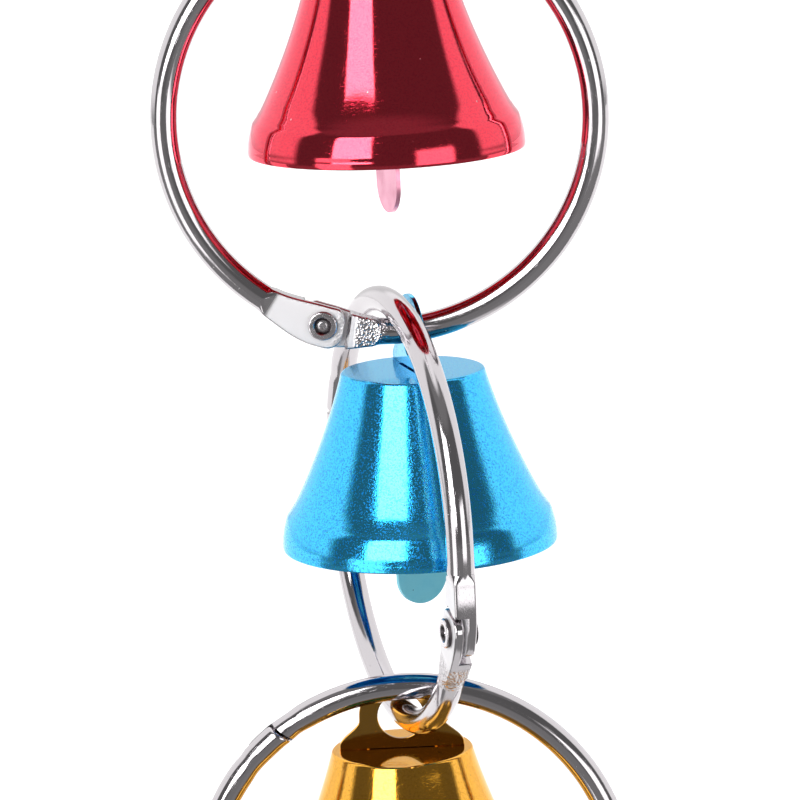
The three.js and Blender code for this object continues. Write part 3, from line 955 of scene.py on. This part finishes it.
def nickel_wire(finish):
    """Bright plating on drawn wire, satin on the pressed paddles and painted paler there as painted light, and
    rough at the stamped hinge root.
    """
    base = tuple(finish.nickel)
    material, graph, shader = new_metal("nickel_wire", base, finish.wire_roughness)
    place = graph.attribute("wire_place", "Vector")
    stamped = graph.attribute("stamped", "Fac")
    sunk = marked_metal(graph, shader, place, base, finish.wire_roughness, WIRE_PITS)
    lines = graph.noise(graph.stretch(place, Scale=DRAWN_STRETCH), DRAWN_NOISE)
    cells = graph.add("ShaderNodeTexVoronoi", {"Vector": place, **STAMP_CELLS}, feature="SMOOTH_F1")
    hammered = graph.math("MULTIPLY", graph.math("MULTIPLY", cells.outputs["Distance"], STAMP_DEPTH), stamped)
    drawn = graph.math("ADD", sunk, graph.math("MULTIPLY", lines, DRAWN_DEPTH))
    spot = graph.add("ShaderNodeSeparateXYZ", {"Vector": place})
    along = spot.outputs["X"]
    off_middle = graph.math("ABSOLUTE", spot.outputs["Z"])
    near_step = graph.fade(along, *RECESS_RUN, 1.0, 0.0)
    recess = graph.math("MULTIPLY", near_step, graph.fade(off_middle, *RECESS_LIMITS, 1.0, 0.0))
    flat = graph.math("MAXIMUM", graph.fade(off_middle, *FLAT_LIMITS), recess)
    paddle = graph.math("MULTIPLY", graph.fade(along, *PRESSED_RUN, 1.0, 0.0), flat)
    pressed = graph.math("MULTIPLY", paddle, graph.math("MULTIPLY_ADD", stamped, -STAMPED_SHARE, 1.0))
    satin = graph.math("MULTIPLY", pressed, PRESSED_ROUGHNESS)
    graph.put(graph.math("MAXIMUM", linked(shader, "Roughness"), satin), shader.inputs["Roughness"])
    # Painted light: the pressed faces are painted paler than the nickel, less so at the stamped root
    pressed_lit = graph.mix_colour(pressed, linked(shader, "Base Color"), PRESSED_LIT_COLOUR)
    graph.put(pressed_lit, shader.inputs["Base Color"])
    graph.relief(shader, graph.math("ADD", drawn, hammered), WIRE_RELIEF)
    return material


def nickel_rivet(finish):
    """The same plating on the rolled rivets, painted paler as painted light, with tool marks and painted shade
    on the hollow's wall and under the roll.
    """
    # The same nickel, painted paler as painted light
    base = scaled(finish.nickel, RIVET_PAINTED_LIGHT)
    material, graph, shader = new_metal("nickel_rivet", base, finish.wire_roughness)
    place = graph.in_millimetres(graph.add("ShaderNodeTexCoord").outputs["Object"])
    sunk = marked_metal(graph, shader, place, base, finish.wire_roughness * RIVET_DULLER, RIVET_PITS)
    # Painted shade, near black on the hollow's wall and under the roll
    grime = graph.attribute("grime", "Fac")
    shaded_base = graph.mix_colour(grime, linked(shader, "Base Color"), PAINTED_SHADE_COLOUR)
    graph.put(shaded_base, shader.inputs["Base Color"])
    height = graph.math("MULTIPLY_ADD", graph.noise(place, TOOL_NOISE), TOOL_DEPTH, sunk)
    graph.relief(shader, height, WIRE_RELIEF)
    return material


# Anodised bells and sheet: pits, relief of grain and ripple, gloss and colour of the specks, edge and coat,
# the clapper's colour, and the hanger plate's share of the bell colour, lowered as painted shade
LOOKS = {
    "red": {
        "scale": 0.7, "size": 0.12, "colour": (0.9, 0.35, 0.38, 1), "grain": 0.12, "ripple": 0.3,
        "speck": 0.03, "deep": (0.68, 0.022, 0.060, 1), "metal": 1.0, "edge": (1, 0.6, 0.7, 1), "coat": 0.6,
        "clapper": (0.83, 0.35, 0.49, 1), "plate": 0.8,
    },
    "blue": {
        "scale": 1.3, "size": 0.13, "colour": (0.004, 0.05, 0.16, 1), "grain": 0.9, "ripple": 0.7,
        "speck": 0.26, "deep": (0.010, 0.25, 0.88, 1), "metal": 0.96, "edge": (0.55, 0.9, 1, 1), "coat": 0.5,
        "clapper": (0.21, 0.62, 0.76, 1), "plate": 1.0,
    },
    "gold": {
        "scale": 1.2, "size": 0.11, "colour": (0.25, 0.11, 0.004, 1), "grain": 0.4, "ripple": 0.5,
        "speck": 0.08, "deep": (0.74, 0.33, 0.020, 1), "metal": 1.0, "edge": (1, 0.8, 0.5, 1), "coat": 0.5,
        "clapper": (0.80, 0.55, 0.20, 1), "plate": 0.45,
    },
}
LATHE_NOISE = {"Scale": 2.6, "Detail": 4.0}
LATHE_SHARE = 0.3
PEEL_NOISE = {"Scale": 2.2, "Detail": 3.0, "Roughness": 0.55}
GRAIN_NOISE = {"Scale": 6.0, "Detail": 2.0}
SPECK_NOISE = {"Scale": 5.2, "Detail": 1.0}
SPECK_FADE = (0.46, 0.68)
DEEP_SHARE = 0.8
BELL_COAT_ROUGHNESS = 0.03
BELL_RELIEF = 0.012
HANGER_ROUGHNESS = 0.06
CLAPPER_ROUGHNESS = 0.34
SHEET_COAT = 0.5
SHEET_COAT_ROUGHNESS = 0.05
ROLLED_STRETCH = (3, 3, 0.3)
ROLLED_NOISE = {"Scale": 1.5, "Detail": 3.0}
ROLLED_DEPTH = 0.8
SHEET_RELIEF = 0.015


def spun_anodised(finish, name, centre):
    """Mirror-bright coloured sheet with pits, fine spinning lines, a slight ripple and a fine grain."""
    look = LOOKS[name]
    base = tuple(getattr(finish, name))
    material, graph, shader = new_metal(name + "_spun", base, finish.bell_roughness)
    shader.inputs["Metallic"].default_value = look["metal"]
    shader.inputs["Specular Tint"].default_value = look["edge"]
    shader.inputs["Coat Weight"].default_value = look["coat"]
    shader.inputs["Coat Roughness"].default_value = BELL_COAT_ROUGHNESS
    spot = graph.add("ShaderNodeTexCoord").outputs["Object"]
    place = graph.in_millimetres(graph.stretch(spot, Location=tuple(-centre)))
    sunk = marked_metal(graph, shader, place, base, finish.bell_roughness, look)
    axes = graph.add("ShaderNodeSeparateXYZ", {"Vector": place})
    lathe = graph.add("ShaderNodeTexNoise", {"W": axes.outputs["Z"], **LATHE_NOISE}, noise_dimensions="1D")
    turned = graph.math("MULTIPLY", lathe.outputs["Fac"], LATHE_SHARE * look["ripple"])
    peeled = graph.math("MULTIPLY_ADD", graph.noise(place, PEEL_NOISE), look["ripple"], turned)
    grained = graph.math("MULTIPLY_ADD", graph.noise(place, GRAIN_NOISE), look["grain"], peeled)
    specks = graph.fade(graph.noise(place, SPECK_NOISE), *SPECK_FADE)
    dusted = graph.math("MULTIPLY_ADD", specks, look["speck"], linked(shader, "Roughness"))
    graph.put(dusted, shader.inputs["Roughness"])
    deepened = graph.math("MULTIPLY", specks, DEEP_SHARE)
    tinted = graph.mix_colour(deepened, linked(shader, "Base Color"), look["deep"])
    graph.put(tinted, shader.inputs["Base Color"])
    graph.relief(shader, graph.math("ADD", grained, sunk), BELL_RELIEF)
    return material


def sheet_anodised(name, use, base, roughness):
    """The same colour on stamped sheet, with rolling lines and duller marks."""
    material, graph, shader = new_metal(name + use, base, roughness)
    shader.inputs["Coat Weight"].default_value = SHEET_COAT
    shader.inputs["Coat Roughness"].default_value = SHEET_COAT_ROUGHNESS
    place = graph.in_millimetres(graph.add("ShaderNodeTexCoord").outputs["Object"])
    sunk = marked_metal(graph, shader, place, base, roughness, LOOKS[name])
    lines = graph.noise(graph.stretch(place, Scale=ROLLED_STRETCH), ROLLED_NOISE)
    graph.relief(shader, graph.math("MULTIPLY_ADD", lines, ROLLED_DEPTH, sunk), SHEET_RELIEF)
    return material


# Stage
CAMERA_ELEVATION = radians(11.5)
CAMERA_ROLL = radians(-2.57)
CAMERA_DISTANCE = 500 * MM
CAMERA_AIM = Vector((0.845, 0, -97.0)) * MM
CLIP_START = 0.01
FOCAL_PIXELS = 4537
FRAME_PIXELS = 800
SENSOR = 36
FLOOR_DROP = 80 * MM
FLOOR_HALF = 1.6
FLOOR_BEHIND = 0.03
FLOOR_GLOW = 0.35
FLOOR_LOOK = {"Base Color": (0.92, 0.92, 0.92, 1), "Roughness": 0.8, "Emission Color": (1, 1, 1, 1)}
# Panels in degrees, each laid over those before it
SURROUND = 0.85
PANELS = (
    {"azimuth": (-200, 200), "elevation": (24, 100), "soft": 5, "level": 1.3},
    {"azimuth": (58, 158), "elevation": (-3, 75), "soft": 6, "level": 1.2},
    {"azimuth": (-158, -58), "elevation": (-3, 75), "soft": 6, "level": 1.2},
    {"azimuth": (-116, 116), "elevation": (-62, -4), "soft": 5, "level": 0.28},
    {"azimuth": (-28, 20), "elevation": (-40, -4), "soft": 5, "level": 0.25},
    {"azimuth": (-82, 84), "elevation": (-8, 66), "soft": 4, "level": 0.14},
    {"azimuth": (-84, 86), "elevation": (50, 72), "soft": 6, "level": 0.25},
    {"azimuth": (-46.5, -13), "elevation": (3, 44.2), "lean": 0.1, "soft": 1.0, "level": 6.0},
    {"azimuth": (-61, -31), "elevation": (-34, 1), "soft": 2, "level": 2.0},
    {"azimuth": (24, 56), "elevation": (-15, 12), "soft": 2.5, "level": 2.2},
)


def studio_world():
    """White surround with bright and dark panels laid over each other; the camera itself sees plain white."""
    world = bpy.data.worlds.new("studio")
    bpy.context.scene.world = world
    world.use_nodes = True
    graph = Graph(world.node_tree)
    way = graph.add("ShaderNodeSeparateXYZ", {"Vector": graph.add("ShaderNodeTexCoord").outputs["Generated"]})
    azimuth = graph.math("ARCTAN2", way.outputs["X"], graph.math("MULTIPLY", way.outputs["Y"], -1.0))
    elevation = graph.math("ARCSINE", way.outputs["Z"])

    def window(value, limits, soft):
        low, high = (radians(limit) for limit in limits)
        rise = graph.fade(value, low - soft, low + soft)
        fall = graph.fade(value, high - soft, high + soft, 1.0, 0.0)
        return graph.math("MULTIPLY", rise, fall)

    level = SURROUND
    for panel in PANELS:
        soft = radians(panel["soft"])
        lift = graph.math("MULTIPLY_ADD", azimuth, -panel.get("lean", 0.0), elevation)
        across = window(azimuth, panel["azimuth"], soft)
        patch = graph.math("MULTIPLY", across, window(lift, panel["elevation"], soft))
        level = graph.blend(patch, level, panel["level"])
    shown = graph.blend(graph.add("ShaderNodeLightPath").outputs["Is Camera Ray"], level, 1.0)
    background = graph.add("ShaderNodeBackground", {"Color": (1, 1, 1, 1), "Strength": shown})
    graph.add("ShaderNodeOutputWorld", {"Surface": background.outputs[0]})


def pale_floor():
    """A plain white floor below and behind the toy."""
    bm = bmesh.new()
    drop = cad_box[0][2] - FLOOR_DROP
    place = Matrix.Translation((0, FLOOR_HALF + FLOOR_BEHIND, drop))
    bmesh.ops.create_grid(bm, x_segments=1, y_segments=1, size=FLOOR_HALF, matrix=place)
    mesh = bpy.data.meshes.new("floor")
    bm.to_mesh(mesh)
    bm.free()
    material = bpy.data.materials.new("floor_white")
    material.use_nodes = True
    graph = Graph(material.node_tree)
    path = graph.add("ShaderNodeLightPath")
    seen = graph.math("MAXIMUM", path.outputs["Is Camera Ray"], path.outputs["Is Glossy Ray"])
    glow = graph.math("MULTIPLY", seen, FLOOR_GLOW)
    shader = graph.add("ShaderNodeBsdfPrincipled", {**FLOOR_LOOK, "Emission Strength": glow})
    graph.add("ShaderNodeOutputMaterial", {"Surface": shader.outputs[0]})
    mesh.materials.append(material)
    floor_piece = bpy.data.objects.new("floor", mesh)
    bpy.context.scene.collection.objects.link(floor_piece)


class BELLTOY_OT_stage(bpy.types.Operator):
    """Set the camera, the white surround and the floor"""

    bl_idname = "belltoy.stage"
    bl_label = "Stage"

    def execute(self, context):
        scene = context.scene
        scene.view_settings.view_transform = "Standard"
        lens = bpy.data.cameras.new("camera")
        lens.sensor_width = SENSOR
        lens.lens = SENSOR * FOCAL_PIXELS / FRAME_PIXELS
        lens.clip_start = CLIP_START
        camera = bpy.data.objects.new("camera", lens)
        scene.collection.objects.link(camera)
        back = Vector((0, -cos(CAMERA_ELEVATION), sin(CAMERA_ELEVATION)))
        turn = back.to_track_quat("Z", "Y").to_matrix().to_4x4() @ Matrix.Rotation(CAMERA_ROLL, 4, "Z")
        camera.matrix_world = Matrix.Translation(CAMERA_AIM + back * CAMERA_DISTANCE) @ turn
        scene.camera = camera
        studio_world()
        pale_floor()
        return {"FINISHED"}


STEPS = (
    BELLTOY_OT_stage, BELLTOY_OT_snap_rings, BELLTOY_OT_rivets, BELLTOY_OT_bells, BELLTOY_OT_hangers,
    BELLTOY_OT_clappers,
)


class BELLTOY_PT_panel(bpy.types.Panel):
    """Lists the toy's pieces and settings"""

    bl_idname = "BELLTOY_PT_panel"
    bl_label = "Hanging bell bird toy"
    bl_space_type = "VIEW_3D"
    bl_region_type = "UI"
    bl_category = "Bell toy"

    def draw(self, context):
        toy = context.scene.bell_toy
        for step in STEPS:
            self.layout.operator(step.bl_idname)
        for group in (toy.ring, toy.bell, toy.sheet, toy.finish):
            box = self.layout.box()
            for key in group.__annotations__:
                box.prop(group, key)


CLASSES = (RingSizes, BellSizes, SheetSizes, ToyFinish, BellToy, *STEPS, BELLTOY_PT_panel)


def register():
    for cls in CLASSES:
        bpy.utils.register_class(cls)
    bpy.types.Scene.bell_toy = PointerProperty(type=BellToy, name="Bell toy", description="All settings")


def unregister():
    del bpy.types.Scene.bell_toy
    for cls in reversed(CLASSES):
        bpy.utils.unregister_class(cls)


def main():
    register()
    bpy.ops.belltoy.stage()
    bpy.ops.belltoy.snap_rings()
    bpy.ops.belltoy.rivets()
    bpy.ops.belltoy.bells()
    bpy.ops.belltoy.hangers()
    bpy.ops.belltoy.clappers()


if __name__ == "__main__":
    main()
